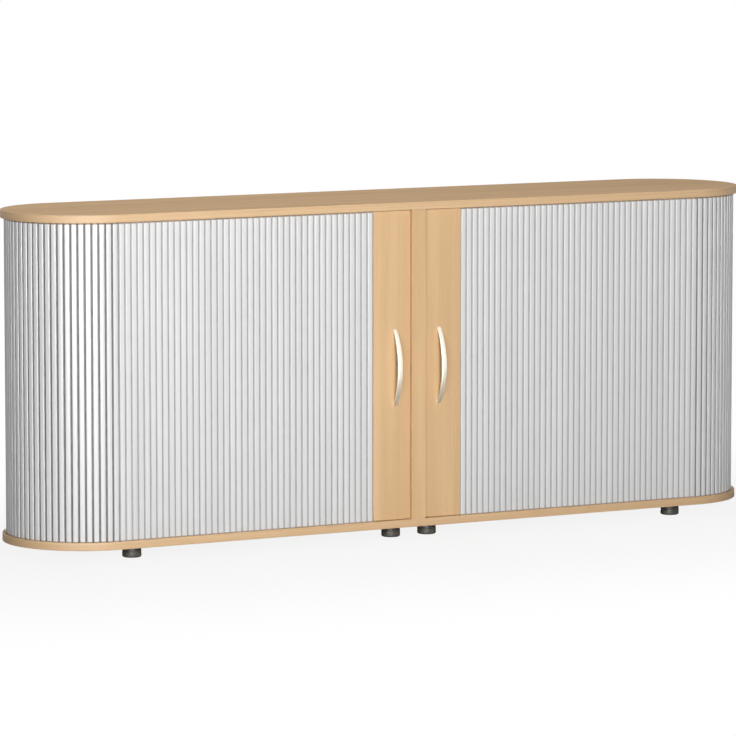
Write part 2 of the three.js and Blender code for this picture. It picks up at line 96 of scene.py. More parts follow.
camera_data = bpy.data.cameras.new("photo_camera")
camera_data.lens = CAMERA_LENS
camera_data.sensor_width = SENSOR_WIDTH
camera_data.clip_end = FARTHEST_SEEN
camera = bpy.data.objects.new("photo_camera", camera_data)
camera.location = CAMERA_PLACE
camera.rotation_euler = (math.pi / 2 - CAMERA_PITCH, 0, -CAMERA_YAW)
bpy.context.scene.collection.objects.link(camera)
bpy.context.scene.camera = camera
bpy.context.scene.view_settings.view_transform = "Standard"
print("camera at", CAMERA_PLACE, "lens", CAMERA_LENS, "mm")

# %% [markdown]
# Materials are node trees, so a small helper saves a lot of typing: it adds a node, sets its input
# sockets and links what is given as a socket. Colours are written as they are seen on a screen,
# from 0 to 255, and turned into the linear light that the shaders work in.

# %% Helpers for materials


def seen(red, green, blue):
    """A screen colour from 0 to 255 as linear light."""
    def linear(value):
        share = value / 255
        return share / 12.92 if share <= 0.04045 else ((share + 0.055) / 1.055) ** 2.4
    return (linear(red), linear(green), linear(blue), 1)


class Finish:
    """A material under construction: its nodes, its shader and its shared coordinates."""

    def __init__(self, name):
        self.material = bpy.data.materials.new(name)
        self.material.use_nodes = True
        self.tree = self.material.node_tree
        self.shader = self.tree.nodes["Principled BSDF"]
        self.place = self.add("ShaderNodeTexCoord").outputs["Object"]

    def add(self, kind, settings=None, **inputs):
        node = self.tree.nodes.new(kind)
        for key, value in (settings or {}).items():
            setattr(node, key, value)
        for key, value in inputs.items():
            self.set(node, key.replace("_", " "), value)
        return node

    def set(self, node, key, value):
        socket = node.inputs[int(key)] if key.isdigit() else node.inputs[key]
        if isinstance(value, bpy.types.NodeSocket):
            self.tree.links.new(value, socket)
        else:
            socket.default_value = value

    def stretch(self, scale):
        """The coordinates scaled on each axis, which stretches a pattern along the smallest scale."""
        return self.add("ShaderNodeMapping", Vector=self.place, Scale=scale).outputs["Vector"]

    def noise(self, scale, detail=2.0, roughness=0.5):
        """Noise of one unit, with its coordinates stretched."""
        node = self.add("ShaderNodeTexNoise", Vector=self.stretch(scale), Scale=1.0,
                        Detail=detail, Roughness=roughness)
        return node.outputs["Fac"]

    def remap(self, value, low, high, to_low, to_high):
        node = self.add("ShaderNodeMapRange")
        for key, number in zip(("Value", "From Min", "From Max", "To Min", "To Max"),
                               (value, low, high, to_low, to_high)):
            self.set(node, key, number)
        return node.outputs["Result"]

    def mix(self, share, first, second, blend="MIX"):
        node = self.add("ShaderNodeMix", {"data_type": "RGBA", "blend_type": blend})
        for key, value in (("0", share), ("6", first), ("7", second)):
            self.set(node, key, value)
        return node.outputs[2]

    def bump(self, height, distance, strength=1.0):
        node = self.add("ShaderNodeBump", Height=height, Distance=distance, Strength=strength)
        self.set(self.shader, "Normal", node.outputs["Normal"])

    def paint(self, **sockets):
        for key, value in sockets.items():
            self.set(self.shader, key.replace("_", " "), value)
        return self.material


print("material helper ready")

# %% [markdown]
# Beech laminate is a pale, warm wood print with a satin lacquer. Up close it has three scales of
# detail: broad soft bands a few centimetres wide, fine fibres, and the short dark flecks that mark
# beech. All of them are much longer along the grain than across it, so each pattern is a noise
# whose coordinates are squeezed along one axis. A pattern is given by how often it changes in a
# metre, along and across the grain. The lacquer is a touch less shiny in the pores, and its IOR is
# low, so that the top, which the camera sees at a grazing angle, mirrors little of the white around
# it. The boards share one colour and only differ in the way their grain runs.

# %% Mix the beech laminate
BEECH_LIGHT = seen(225, 189, 145)
BEECH_DARK = seen(213, 175, 130)
BEECH_FLECK = seen(176, 132, 88)
BROAD_BANDS = (0.9, 26)
FIBRES = (14, 900)
FLECKS = (150, 1300)
FLECK_STRENGTH = 0.42
LACQUER_IOR = 1.18
PORE_DEPTH = 0.06 * MM


def grain_scale(axis, pattern):
    along, across = pattern
    scale = [across, across, across]
    scale["XYZ".index(axis)] = along
    return scale


def beech(name, axis, light=BEECH_LIGHT, dark=BEECH_DARK):
    finish = Finish(name)
    bands = finish.noise(grain_scale(axis, BROAD_BANDS), detail=3)
    fibres = finish.noise(grain_scale(axis, FIBRES), detail=4, roughness=0.6)
    flecks = finish.noise(grain_scale(axis, FLECKS), detail=1)
    tone = finish.mix(finish.remap(bands, 0.32, 0.68, 0, 1), light, dark)
    fibre_tone = finish.remap(fibres, 0.3, 0.7, 0.955, 1.03)
    tone = finish.mix(1.0, tone, fibre_tone, "MULTIPLY")
    fleck_share = finish.remap(flecks, 0.66, 0.76, 0, FLECK_STRENGTH)
    tone = finish.mix(fleck_share, tone, BEECH_FLECK)
    finish.bump(finish.remap(fibres, 0.3, 0.7, 0, 1), PORE_DEPTH, 0.35)
    gloss = finish.remap(fibres, 0.3, 0.7, 0.66, 0.58)
    return finish.paint(Base_Color=tone, Roughness=gloss, IOR=LACQUER_IOR)


beech_long = beech("beech_grain_along_the_length", "X")
beech_upright = beech("beech_grain_upright", "Z")
print("beech mixed:", beech_long.name, "and", beech_upright.name)

# %% [markdown]
# The edge bands are solid beech strips, glued on and rounded over, with a tighter and straighter
# grain than the boards. They run along the front and round the ends, so their pattern goes by the
# height instead: lines stacked in Z look the same all the way round. The lead rails and the band
# of the partition have the boards' pattern in a shade of their own.

# %% Mix the edge band and the lead rail's beech
BAND_LIGHT = seen(227, 192, 150)
BAND_DARK = seen(213, 177, 134)
RAIL_LIGHT = seen(228, 192, 148)
RAIL_DARK = seen(214, 177, 132)
BAND_LINES = (1.4, 1.4, 520)
BAND_PATCHES = (3.5, 3.5, 60)
FINE_BUMP = 0.05 * MM


def edge_beech(name):
    finish = Finish(name)
    lines = finish.noise(BAND_LINES, detail=3, roughness=0.55)
    patches = finish.noise(BAND_PATCHES, detail=2)
    tone = finish.mix(finish.remap(lines, 0.3, 0.7, 0, 1), BAND_LIGHT, BAND_DARK)
    tone = finish.mix(1.0, tone, finish.remap(patches, 0.3, 0.7, 0.97, 1.02), "MULTIPLY")
    finish.bump(lines, FINE_BUMP, 0.3)
    return finish.paint(Base_Color=tone, Roughness=0.5, IOR=1.4)


band_beech = edge_beech("beech_edge_band")
rail_beech = beech("beech_lead_rail", "Z", RAIL_LIGHT, RAIL_DARK)
print("edge band and rail beech mixed")

# %% [markdown]
# The slats are extruded plastic, coloured right through in a silver grey, with a satin skin. An
# extrusion shows faint draw lines along its length, and each slat takes the dye a little
# differently. Both are noises: one stretched along Z, and one that changes from slat to slat. A
# small metallic share gives the sheen, and with the low IOR the slats that are seen at a grazing
# angle, at the edges of the cabinet, mirror little of the white around it. A thin brown line over
# the slats' ends, where they enter the tracks, is painted shade, drawn by height. The web between
# the slats is a softer plastic, painted a shade darker for the shade in the grooves. On the bends it
# is drawn in, and the grooves take more painted shade: the darkest on their floor, and a lighter
# one on their walls. The tracks and the shoes that guide the rails are brown, and the feet are a
# soft black.

# %% Mix the plastics
SLAT_GREY = seen(227, 227, 227)
SLAT_SHADE = seen(221, 221, 221)
SLAT_METALLIC = 0.055
SLAT_IOR = 1.03
# The brown lines over the slats' ends are painted shade where the slats meet the tracks.
SLAT_END_SHADE_BROWN = seen(150, 124, 98)
SHADE_LINE_AT_FOOT = 2.5 * MM
SHADE_LINE_AT_HEAD = 5 * MM
SHADE_LINE_FADE = 2 * MM
SHADE_LINE_STRENGTH = 0.85
DRAW_LINES = (2600, 2600, 3)
DYE_DRIFT = (46, 46, 1.2)
DRAW_LINE_DEPTH = 0.03 * MM
PLASTIC_PITS = (1800, 1800, 1800)
PLASTIC_WEAR = (60, 60, 60)
GLOSS_SPREAD = 0.06


def slat_plastic():
    finish = Finish("slat_silver_grey")
    draw_lines = finish.noise(DRAW_LINES, detail=2)
    drift = finish.noise(DYE_DRIFT, detail=1)
    tone = finish.mix(finish.remap(drift, 0.3, 0.7, 0, 1), SLAT_GREY, SLAT_SHADE)
    height = finish.add("ShaderNodeSeparateXYZ", Vector=finish.place).outputs["Z"]
    # Painted shade: a brown line at the foot and at the head of each slat, where it enters a track.
    foot_line = box_floor + SHADE_LINE_AT_FOOT
    head_line = box_roof - SHADE_LINE_AT_HEAD
    at_foot = finish.remap(height, foot_line - SHADE_LINE_FADE, foot_line, SHADE_LINE_STRENGTH, 0)
    at_head = finish.remap(height, head_line, head_line + SHADE_LINE_FADE, 0, SHADE_LINE_STRENGTH)
    tone = finish.mix(at_foot, tone, SLAT_END_SHADE_BROWN)
    tone = finish.mix(at_head, tone, SLAT_END_SHADE_BROWN)
    finish.bump(draw_lines, DRAW_LINE_DEPTH, 0.25)
    gloss = finish.remap(draw_lines, 0.3, 0.7, 0.27, 0.33)
    return finish.paint(Base_Color=tone, Roughness=gloss, Metallic=SLAT_METALLIC, IOR=SLAT_IOR)


def moulded_plastic(name, colour, shade, roughness):
    finish = Finish(name)
    pits = finish.noise(PLASTIC_PITS, detail=2)
    wear = finish.noise(PLASTIC_WEAR, detail=3)
    tone = finish.mix(finish.remap(wear, 0.35, 0.65, 0, 1), colour, shade)
    finish.bump(pits, FINE_BUMP, 0.3)
    gloss = finish.remap(wear, 0.35, 0.65, roughness - GLOSS_SPREAD, roughness + GLOSS_SPREAD)
    return finish.paint(Base_Color=tone, Roughness=gloss, IOR=1.46)


slat_grey = slat_plastic()
# The web and groove greys are painted shade: darker skins that stand for the shade between the slats.
web_and_wall_shade = moulded_plastic("web_and_wall_shade", seen(174, 174, 175), seen(164, 164, 165), roughness=0.6)
groove_floor_shade = moulded_plastic("groove_floor_painted_shade", seen(126, 126, 127), seen(116, 116, 117),
                              roughness=0.6)
track_brown = moulded_plastic("track_brown", seen(190, 150, 110), seen(174, 137, 99), roughness=0.5)
shoe_brown = moulded_plastic("shoe_brown", seen(158, 122, 86), seen(142, 108, 74), roughness=0.5)
foot_black = moulded_plastic("foot_black", seen(90, 88, 81), seen(78, 76, 70), roughness=0.32)
print("plastics mixed:", slat_grey.name, track_brown.name, foot_black.name)

# %% [markdown]
# The bow handles are die-cast and have a pearly satin coat, and the screws and shelf pins are
# zinc-plated steel. Both are almost even, with soft clouds in their tone and gloss: wide ones on the
# cast handles, and finer ones on the plated steel. The handles have no scratches, because on a bar
# this narrow they would only show as dark specks.

# %% Mix the metals
PEARL = seen(244, 238, 222)
PEARL_SHADE = seen(237, 230, 213)
ZINC = seen(190, 193, 196)
ZINC_SHADE = seen(168, 171, 175)
CLOUD_DEPTH = 0.02 * MM
CLOUD_GLOSS = 0.04


def satin_metal(name, colour, shade, metallic, roughness, clouds):
    finish = Finish(name)
    cloud = finish.noise((clouds, clouds, clouds), detail=2)
    tone = finish.mix(finish.remap(cloud, 0.35, 0.65, 0, 1), colour, shade)
    finish.bump(cloud, CLOUD_DEPTH, 0.3)
    gloss = finish.remap(cloud, 0.35, 0.65, roughness - CLOUD_GLOSS, roughness + CLOUD_GLOSS)
    return finish.paint(Base_Color=tone, Roughness=gloss, Metallic=metallic)


handle_pearl = satin_metal("handle_pearl", PEARL, PEARL_SHADE,
                           metallic=0.9, roughness=0.36, clouds=90)
zinc_steel = satin_metal("zinc_steel", ZINC, ZINC_SHADE,
                         metallic=1.0, roughness=0.34, clouds=300)
print("metals mixed:", handle_pearl.name, zinc_steel.name)

# %% [markdown]
# Now the modelling helpers. A piece starts as a list of corners and faces, and its normals are
# then turned outward. Edges that are sharper than a set angle stay sharp, and all other faces are
# shaded smooth, so a rounded edge looks round and a flat face stays flat.

# %% Helpers for meshes
SHARP_ANGLE = math.radians(32)


def make_piece(name, corners, faces, material, smooth=True):
    mesh = bpy.data.meshes.new(name)
    mesh.from_pydata([tuple(c) for c in corners], [], faces)
    mesh.materials.append(material)
    work = bmesh.new()
    work.from_mesh(mesh)
    bmesh.ops.recalc_face_normals(work, faces=work.faces)
    for face in work.faces:
        face.smooth = smooth
    for edge in work.edges:
        if edge.is_manifold:
            edge.smooth = edge.calc_face_angle(0) < SHARP_ANGLE
    work.to_mesh(mesh)
    work.free()
    piece = bpy.data.objects.new(name, mesh)
    bpy.context.scene.collection.objects.link(piece)
    return piece


def settle(piece, body, slot, *nodes):
    """Says what a piece rides on and which plain nodes it stands for. The slot is not used."""
    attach(piece, body)
    if nodes:
        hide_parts(*nodes)


def loft(rings, joined=False):
    """Corners and faces of rings of equal count: the last meets the first, or both are closed."""
    count = len(rings[0])
    corners = [corner for ring in rings for corner in ring]
    faces = []
    spans = len(rings) if joined else len(rings) - 1
    for i in range(spans):
        here = i * count
        there = ((i + 1) % len(rings)) * count
        for j in range(count):
            k = (j + 1) % count
            faces.append((here + j, here + k, there + k, there + j))
    if not joined:
        last = (len(rings) - 1) * count
        faces.append(tuple(range(count)))
        faces.append(tuple(last + j for j in range(count)))
    return corners, faces


def arc(centre, radius, start, stop, steps):
    """Points on an arc, both ends included."""
    points = []
    for i in range(steps + 1):
        angle = start + (stop - start) * i / steps
        points.append((centre[0] + radius * math.cos(angle), centre[1] + radius * math.sin(angle)))
    return points


def rounded_bar(low, high, radius, steps=4):
    """A rectangle in the plane with all four corners rounded."""
    (x0, y0), (x1, y1) = low, high
    quarter = math.pi / 2
    return (arc((x1 - radius, y0 + radius), radius, -quarter, 0, steps)
            + arc((x1 - radius, y1 - radius), radius, 0, quarter, steps)
            + arc((x0 + radius, y1 - radius), radius, quarter, math.pi, steps)
            + arc((x0 + radius, y0 + radius), radius, math.pi, 3 * quarter, steps))


print("mesh helpers ready")

# %% [markdown]
# The panels' edges are followed by stations. Each one is the centre of an end's half circle and a
# direction that points outward from it. A profile set up at every station and joined to the next
# gives a band that turns smoothly round the ends and runs straight along the sides between them.

# %% Walk round the plan
BEND_STEPS = 96


def plan_stations():
    stations = []
    for side in (1, -1):
        for i in range(BEND_STEPS + 1):
            angle = math.pi * i / BEND_STEPS
            outward = (side * math.sin(angle), -side * math.cos(angle))
            stations.append((Vector((side * bend_start, middle_y, 0)), outward))
    return stations


def sweep_profile(profile, stations):
    rings = []
    for origin, (out_x, out_y) in stations:
        rings.append([(origin.x + out_x * reach, origin.y + out_y * reach, height)
                      for reach, height in profile])
    return loft(rings, joined=True)


print("stations round the plan:", len(plan_stations()))

# %% [markdown]
# Each panel has a 2 mm band glued round its edge, rounded over by about a millimetre at the top
# and bottom. A finer sweep than the plain one keeps the half circles smooth at any distance.

# %% Edge bands of the panels
BAND_THICKNESS = 2 * MM
BAND_ROUND = 1.2 * MM
BAND_ROUND_STEPS = 5


def band_profile(low, high):
    inside = end_radius - BAND_THICKNESS
    centre = end_radius - BAND_ROUND
    lower = arc((centre, low + BAND_ROUND), BAND_ROUND, -math.pi / 2, 0, BAND_ROUND_STEPS)
    upper = arc((centre, high - BAND_ROUND), BAND_ROUND, 0, math.pi / 2, BAND_ROUND_STEPS)
    return [(inside, low)] + lower + upper + [(inside, high)]


for level in ("top", "bottom"):
    low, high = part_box(f"{level}_edge_band")
    corners, faces = sweep_profile(band_profile(low.z, high.z), plan_stations())
    band = make_piece(f"{level}_rounded_band", corners, faces, band_beech)
    settle(band, "cabinet", "beech_edge", f"{level}_edge_band")
    print(band.name, "from", round(low.z, 4), "to", round(high.z, 4))

# %% [markdown]
# A slat is an extrusion, so its cross-section is drawn once and repeated. The face is slightly
# crowned and its two long edges are rounded over. At its back a flexible web joins it to its
# neighbours. Along the front the slats lie in one line and the web fills the space between them
# to half its depth. Round the ends each slat turns with the bend: the grooves between the faces
# open up, and the stretched web lies lower in them. That and the painted shade on their walls and
# floor make them look darker there.

# %% Draw the cross-section of one slat
front_low, front_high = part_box("left_curtain_front")
slat_back = middle_y - front_high.y
slat_face = middle_y - front_low.y
slat_depth = slat_face - slat_back
slat_foot, slat_head = front_low.z, front_high.z
SLAT_WIDTH = 12 * MM
SLAT_PITCH = 16.1 * MM
SLAT_CROWN = 0.2 * MM
SLAT_ROUND = 2.0 * MM
ROUND_STEPS = 8
CROWN_HALF_STEPS = 4
WEB = 4.2 * MM
WEB_BENT = 2.2 * MM


def slat_section(web):
    """Distance along the curtain and height over the web's back, from one groove to the next."""
    half = SLAT_WIDTH / 2
    shoulder = slat_depth - SLAT_CROWN - SLAT_ROUND
    left = arc((-half + SLAT_ROUND, shoulder), SLAT_ROUND, math.pi, math.pi / 2, ROUND_STEPS)
    flat = half - SLAT_ROUND
    crown = []
    for i in range(1, 2 * CROWN_HALF_STEPS):
        share = i / CROWN_HALF_STEPS - 1
        crown.append((share * flat, slat_depth - SLAT_CROWN * share * share))
    right = [(-x, y) for x, y in reversed(left)]
    return [(-half, web)] + left + crown + right + [(half, web)]


print(f"slat {1000 * slat_depth:.1f} mm deep, {len(slat_section(WEB))} points in its section")

# %% [markdown]
# The curtain along the front is one mesh for each door: the slats' outer line, closed by the back
# of the web, and extruded from the lower track to the upper one. When the door opens these slats
# run on round the end and are stored behind the back panel, and on the real cabinet the open front
# shows free of slats. A piece can't follow such a path here, so the curtain stays on the cabinet. A
# curtain's pieces have three finishes: the slats' faces are the first, the web along the front and
# the groove walls on the bends are the second, and the groove floors on the bends are the third.

# %% Curtains along the front


def upright_extrusion(name, outline, low, high, material):
    rings = [[(x, y, z) for x, y in outline] for z in (low, high)]
    corners, faces = loft(rings)
    return make_piece(name, corners, faces, material)


SECOND_FINISH = 1
THIRD_FINISH = 2


def curtain_piece(name, line, web):
    """Extrudes a line of x, y and height over the web's back, and gives the grooves painted shade."""
    piece = upright_extrusion(name, [(x, y) for x, y, _ in line], slat_foot, slat_head, slat_grey)
    piece.data.materials.append(web_and_wall_shade)
    piece.data.materials.append(groove_floor_shade)
    bent = web == WEB_BENT
    # The grooves take painted shade: the web along the front, and the walls and floors on the bends.
    for i in range(len(line)):
        heights = (line[i][2], line[(i + 1) % len(line)][2])
        if heights == (web, web):
            piece.data.polygons[i].material_index = THIRD_FINISH if bent else SECOND_FINISH
        elif bent and web in heights:
            piece.data.polygons[i].material_index = SECOND_FINISH
    return piece


def front_line(side, near, far):
    count = round((far - near) / SLAT_PITCH)
    pitch = (far - near) / count
    line = [(near, WEB)]
    for i in range(count):
        centre = near + (i + 0.5) * pitch
        line += [(centre + along, height) for along, height in slat_section(WEB)]
    line += [(far, WEB), (far, 0), (near, 0)]
    return [(side * along, middle_y - slat_back - height, height) for along, height in line]


for side_name, side in SIDES.items():
    low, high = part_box(f"{side_name}_curtain_front")
    near, far = sorted((abs(low.x), abs(high.x)))
    curtain = curtain_piece(f"{side_name}_front_slats", front_line(side, near, far), WEB)
    settle(curtain, "cabinet", "slat_plastic", f"{side_name}_curtain_front")
    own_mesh(curtain)

# %% [markdown]
# Round each end the slats never seem to move: when the door slides, each slat takes the place of
# the one before it. So they stay on the cabinet, in two quarter turns for each end.

# %% Slats round the ends
SECTION_GAP = 0.3 * MM


def bend_line(side, start_angle, end_angle):
    trim = SECTION_GAP / 2 / slat_back
    first, last = start_angle + trim, end_angle - trim
    count = round((last - first) * slat_back / SLAT_PITCH)
    step = (last - first) / count

    def at(angle, along, height):
        reach = slat_back + height
        x = bend_start + math.sin(angle) * reach + math.cos(angle) * along
        y = middle_y - math.cos(angle) * reach + math.sin(angle) * along
        return (side * x, y, height)

    outer = [at(first, 0, WEB_BENT)]
    inner = [at(first, 0, 0)]
    for i in range(count):
        outer += [at(first + (i + 0.5) * step, along, height)
                  for along, height in slat_section(WEB_BENT)]
        inner.append(at(first + (i + 1) * step, 0, 0))
    outer.append(at(last, 0, WEB_BENT))
    return outer + inner[::-1]


for side_name, side in SIDES.items():
    for part, start_angle in (("front", 0), ("rear", math.pi / 2)):
        line = bend_line(side, start_angle, start_angle + math.pi / 2)
        slats = curtain_piece(f"{side_name}_bend_{part}_slats", line, WEB_BENT)
        settle(slats, "cabinet", "slat_plastic", f"{side_name}_curtain_bend_{part}")
        print(slats.name, len(slats.data.polygons), "faces")

# %% [markdown]
# A lead rail is the stiff strip that leads each curtain: solid beech with rounded edges and a
# handle on it. The rail is built as a rounded bar in plan and extruded, then the bevel modifier
# takes the sharpness off its ends. Closed, the two rails all but touch the partition between them,
# so each one's closing edge stands half a millimetre nearer than the plain solid's. The mortises
# for the shoes and the screw holes, which don't show, are only in the plain solid.

# %% Lead rails
RAIL_ROUND = 1.5 * MM
RAIL_NEARER = 0.5 * MM
RAIL_END_BEVEL = 0.6 * MM

for side_name, side in SIDES.items():
    low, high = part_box(f"{side_name}_lead_rail")
    near, far = sorted((abs(low.x), abs(high.x)))
    x0, x1 = sorted((side * (near - RAIL_NEARER), side * far))
    outline = rounded_bar((x0, low.y), (x1, high.y), RAIL_ROUND)
    rail = upright_extrusion(f"{side_name}_beech_rail", outline, low.z, high.z, rail_beech)
    bevel = rail.modifiers.new("soft_ends", "BEVEL")
    bevel.width = RAIL_END_BEVEL
    bevel.segments = 2
    bevel.limit_method = "ANGLE"
    settle(rail, f"{side_name}_door", "beech_rail", f"{side_name}_lead_rail")
    print(rail.name, f"{1000 * (high.x - low.x):.0f} mm wide")

# %% [markdown]
# A bow handle is a bar bent to an arc, a little wider in the middle than at its two feet. Its
# outer side is a true arc through the two ends and the highest point. Rings with a rounded
# rectangle as their section follow that arc: a flat face with evenly rounded edges, and a flank
# that the camera sees in shade. The last two millimetres round off into the tip, and each ring is
# pressed flat where it would sink into the rail. The screw holes are only in the plain solid.

# %% Bow handles
HANDLE_WIDTH = 12.6 * MM
HANDLE_END_WIDTH = 10.4 * MM
HANDLE_THICKNESS = 7 * MM
HANDLE_END_THICKNESS = 5 * MM
HANDLE_TIP = 2 * MM
HANDLE_CORNER = 2.2 * MM
HANDLE_CORNER_STEPS = 6
HANDLE_RINGS = 96


def bow_rings(low, high):
    half_chord = (high.z - low.z) / 2
    reach = high.y - low.y
    radius = (half_chord ** 2 + reach ** 2) / (2 * reach)
    half_angle = math.asin(half_chord / radius)
    middle_x = (low.x + high.x) / 2
    middle_z = (low.z + high.z) / 2
    rings = []
    for i in range(HANDLE_RINGS):
        share = math.sin((2 * i / (HANDLE_RINGS - 1) - 1) * math.pi / 2)
        swell = math.cos(share * math.pi / 2)
        half_width = (HANDLE_END_WIDTH + (HANDLE_WIDTH - HANDLE_END_WIDTH) * swell) / 2
        from_tip = (1 - abs(share)) * half_angle * radius
        if from_tip < HANDLE_TIP:
            half_width -= HANDLE_TIP / 2 * (1 - math.sqrt(1 - (1 - from_tip / HANDLE_TIP) ** 2))
        half_thick = (HANDLE_END_THICKNESS + (HANDLE_THICKNESS - HANDLE_END_THICKNESS) * swell) / 2
        ring = []
        section = rounded_bar((-half_width, -2 * half_thick), (half_width, 0),
                              HANDLE_CORNER, HANDLE_CORNER_STEPS)
        for across, depth in section:
            along = radius + depth
            y = low.y + radius - along * math.cos(share * half_angle)
            z = middle_z + along * math.sin(share * half_angle)
            ring.append((middle_x + across, min(y, high.y), z))
        rings.append(ring)
    return rings


for side_name in SIDES:
    low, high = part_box(f"{side_name}_handle")
    corners, faces = loft(bow_rings(low, high))
    handle = make_piece(f"{side_name}_bow_handle", corners, faces, handle_pearl)
    settle(handle, f"{side_name}_door", "handle_metal", f"{side_name}_handle")
    print(handle.name, f"{1000 * (high.z - low.z):.0f} mm long")

# %% [markdown]
# The feet are turned shapes, so one profile of radius and height makes each of them. The socket is
# a collar pressed under the panel, and the pad below it has a rounded sole, a shallow ring that
# the mould leaves, and a threaded stem that screws up into the panel for levelling. The collar's
# middle is closed here, out of sight, where the plain solid has a bore for the stem.

# %% Levelling feet
FOOT_STEPS = 72
FOOT_LIP = 0.8 * MM
LIP_STEPS = 4
SOLE_ROUND = 4 * MM
SOLE_STEPS = 8
SOLE_HOLLOW = 0.6 * MM
SOCKET_TAPER = 1.5 * MM
MOULD_RING = (3.2 * MM, 2.8 * MM, 2.4 * MM)
STEM_RADIUS = 4.5 * MM
THREAD_PITCH = 0.75 * MM
THREAD_DEPTH = 0.45 * MM
ALMOST_NONE = 0.001 * MM


def turn_profile(name, profile, centre, material):
    rings = []
    for radius, height in profile:
        ring = []
        for j in range(FOOT_STEPS):
            turn = 2 * math.pi * j / FOOT_STEPS
            x = centre[0] + radius * math.cos(turn)
            y = centre[1] + radius * math.sin(turn)
            ring.append((x, y, height))
        rings.append(ring)
    corners, faces = loft(rings)
    return make_piece(name, corners, faces, material)


def foot_profiles(socket_low, socket_high, pad_high):
    """The outline of a collar and of the pad below it, both as radius and height."""
    radius = (socket_high.x - socket_low.x) / 2
    quarter = math.pi / 2
    edge = radius - FOOT_LIP
    middle = STEM_RADIUS + SECTION_GAP
    socket = [(middle, socket_low.z), (edge, socket_low.z)]
    socket += arc((edge, socket_low.z + FOOT_LIP), FOOT_LIP, -quarter, 0, LIP_STEPS)[1:]
    socket += [(radius - SOCKET_TAPER, socket_high.z), (middle, socket_high.z)]
    pad_top = socket_low.z - SECTION_GAP
    rim = radius - 3 * SOLE_ROUND
    pad = [(ALMOST_NONE, SOLE_HOLLOW), (rim, SOLE_HOLLOW), (rim + FOOT_LIP, 0)]
    pad += arc((radius - SOLE_ROUND, SOLE_ROUND), SOLE_ROUND, -quarter, 0, SOLE_STEPS)
    ring_low, ring_middle, ring_high = [pad_top - drop for drop in MOULD_RING]
    pad += [(radius, ring_low), (radius - FOOT_LIP / 2, ring_middle), (radius, ring_high)]
    pad += arc((edge, pad_top - FOOT_LIP), FOOT_LIP, 0, quarter, LIP_STEPS)
    pad += [(STEM_RADIUS, pad_top)]
    z = pad_top + THREAD_PITCH
    while z + THREAD_PITCH < pad_high.z:
        pad += [(STEM_RADIUS, z), (STEM_RADIUS - THREAD_DEPTH, z + THREAD_PITCH / 2)]
        z += THREAD_PITCH
    pad += [(STEM_RADIUS, pad_high.z - THREAD_PITCH), (STEM_RADIUS - THREAD_PITCH, pad_high.z)]
    pad += [(ALMOST_NONE, pad_high.z)]
    return socket, pad


for number in range(1, 9):
    socket_low, socket_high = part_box(f"foot_socket_{number}")
    pad_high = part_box(f"foot_pad_{number}")[1]
    centre = (socket_low + socket_high) / 2
    socket_profile, pad_profile = foot_profiles(socket_low, socket_high, pad_high)
    socket = turn_profile(f"foot_collar_{number}", socket_profile, centre, foot_black)
    settle(socket, "cabinet", "foot_plastic", f"foot_socket_{number}")
    pad = turn_profile(f"foot_sole_{number}", pad_profile, centre, foot_black)
    settle(pad, f"levelling_pad_{number}", "foot_plastic", f"foot_pad_{number}")
print("feet:", number, "at", round(abs(centre.x), 3), "m from the middle for the last one")

# %% [markdown]
# The boards, tracks, shoes, pins and screws are right as the frame has them. They only need their
# finish, which goes into the material slot of each node. The grain of the top, the bottom and the
# shelves runs along the length, and upright boards have an upright grain.

# %% Finish the pieces that keep their shape


def finish_nodes(material, *names):
    for name in names:
        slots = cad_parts[name].material_slots
        for one in slots:
            one.material = material
    print(material.name, "on", len(names), "nodes")


both = [f"{side_name}_" for side_name in SIDES]
finish_nodes(beech_long, "top_panel", "bottom_panel", *(s + "shelf" for s in both))
finish_nodes(beech_upright, "centre_partition", "back_panel",
             *(s + "end_wall" for s in both), *(s + "inner_back" for s in both))
finish_nodes(rail_beech, "partition_edge_band")
finish_nodes(track_brown, *(s + level + "_track" for s in both for level in ("top", "bottom")))
finish_nodes(shoe_brown, *(s + level + "_shoe" for s in both for level in ("top", "bottom")))
finish_nodes(zinc_steel, *(s + f"shelf_pin_{n}" for s in both for n in (1, 2, 3, 4)))
finish_nodes(zinc_steel, *(s + f"handle_screw_{end}" for s in both for end in ("lower", "upper")))

# %% [markdown]
# The photograph shows the cabinet cut out on white. A wide pale floor stands in for that: it is
# white where the camera sees it, and near the cabinet it still takes a soft shadow. The white
# grows with the distance from the cabinet, so the shadow fades out. That distance counts less along
# X, because the cabinet is long that way. Shiny pieces reflect the same white from further off, and
# the ordinary lit floor close by. For the light that falls on the cabinet the floor is an ordinary
# pale surface throughout.

# %% The floor and the white around it
FLOOR_RADIUS = 90
FLOOR_STEPS = 96
FLOOR_GREY = (0.5, 0.5, 0.5, 1)
SHADOW_NEAR = 0.3
SHADOW_FAR = 1.5
SHADOW_SHAPE = (0.42, 1, 1)
SHADOW_WHITE = 0.88
SHADOW_MIRRORED = 0
WHITE = (1, 1, 1, 1)


def seen_directly(tree):
    """One where the camera, a reflection or a refraction looks, and none for other light."""
    path = tree.nodes.new("ShaderNodeLightPath")
    total = None
    for output in ("Is Camera Ray", "Is Glossy Ray", "Is Transmission Ray"):
        if total is None:
            total = path.outputs[output]
            continue
        larger = tree.nodes.new("ShaderNodeMath")
        larger.operation = "MAXIMUM"
        tree.links.new(total, larger.inputs[0])
        tree.links.new(path.outputs[output], larger.inputs[1])
        total = larger.outputs[0]
    return total


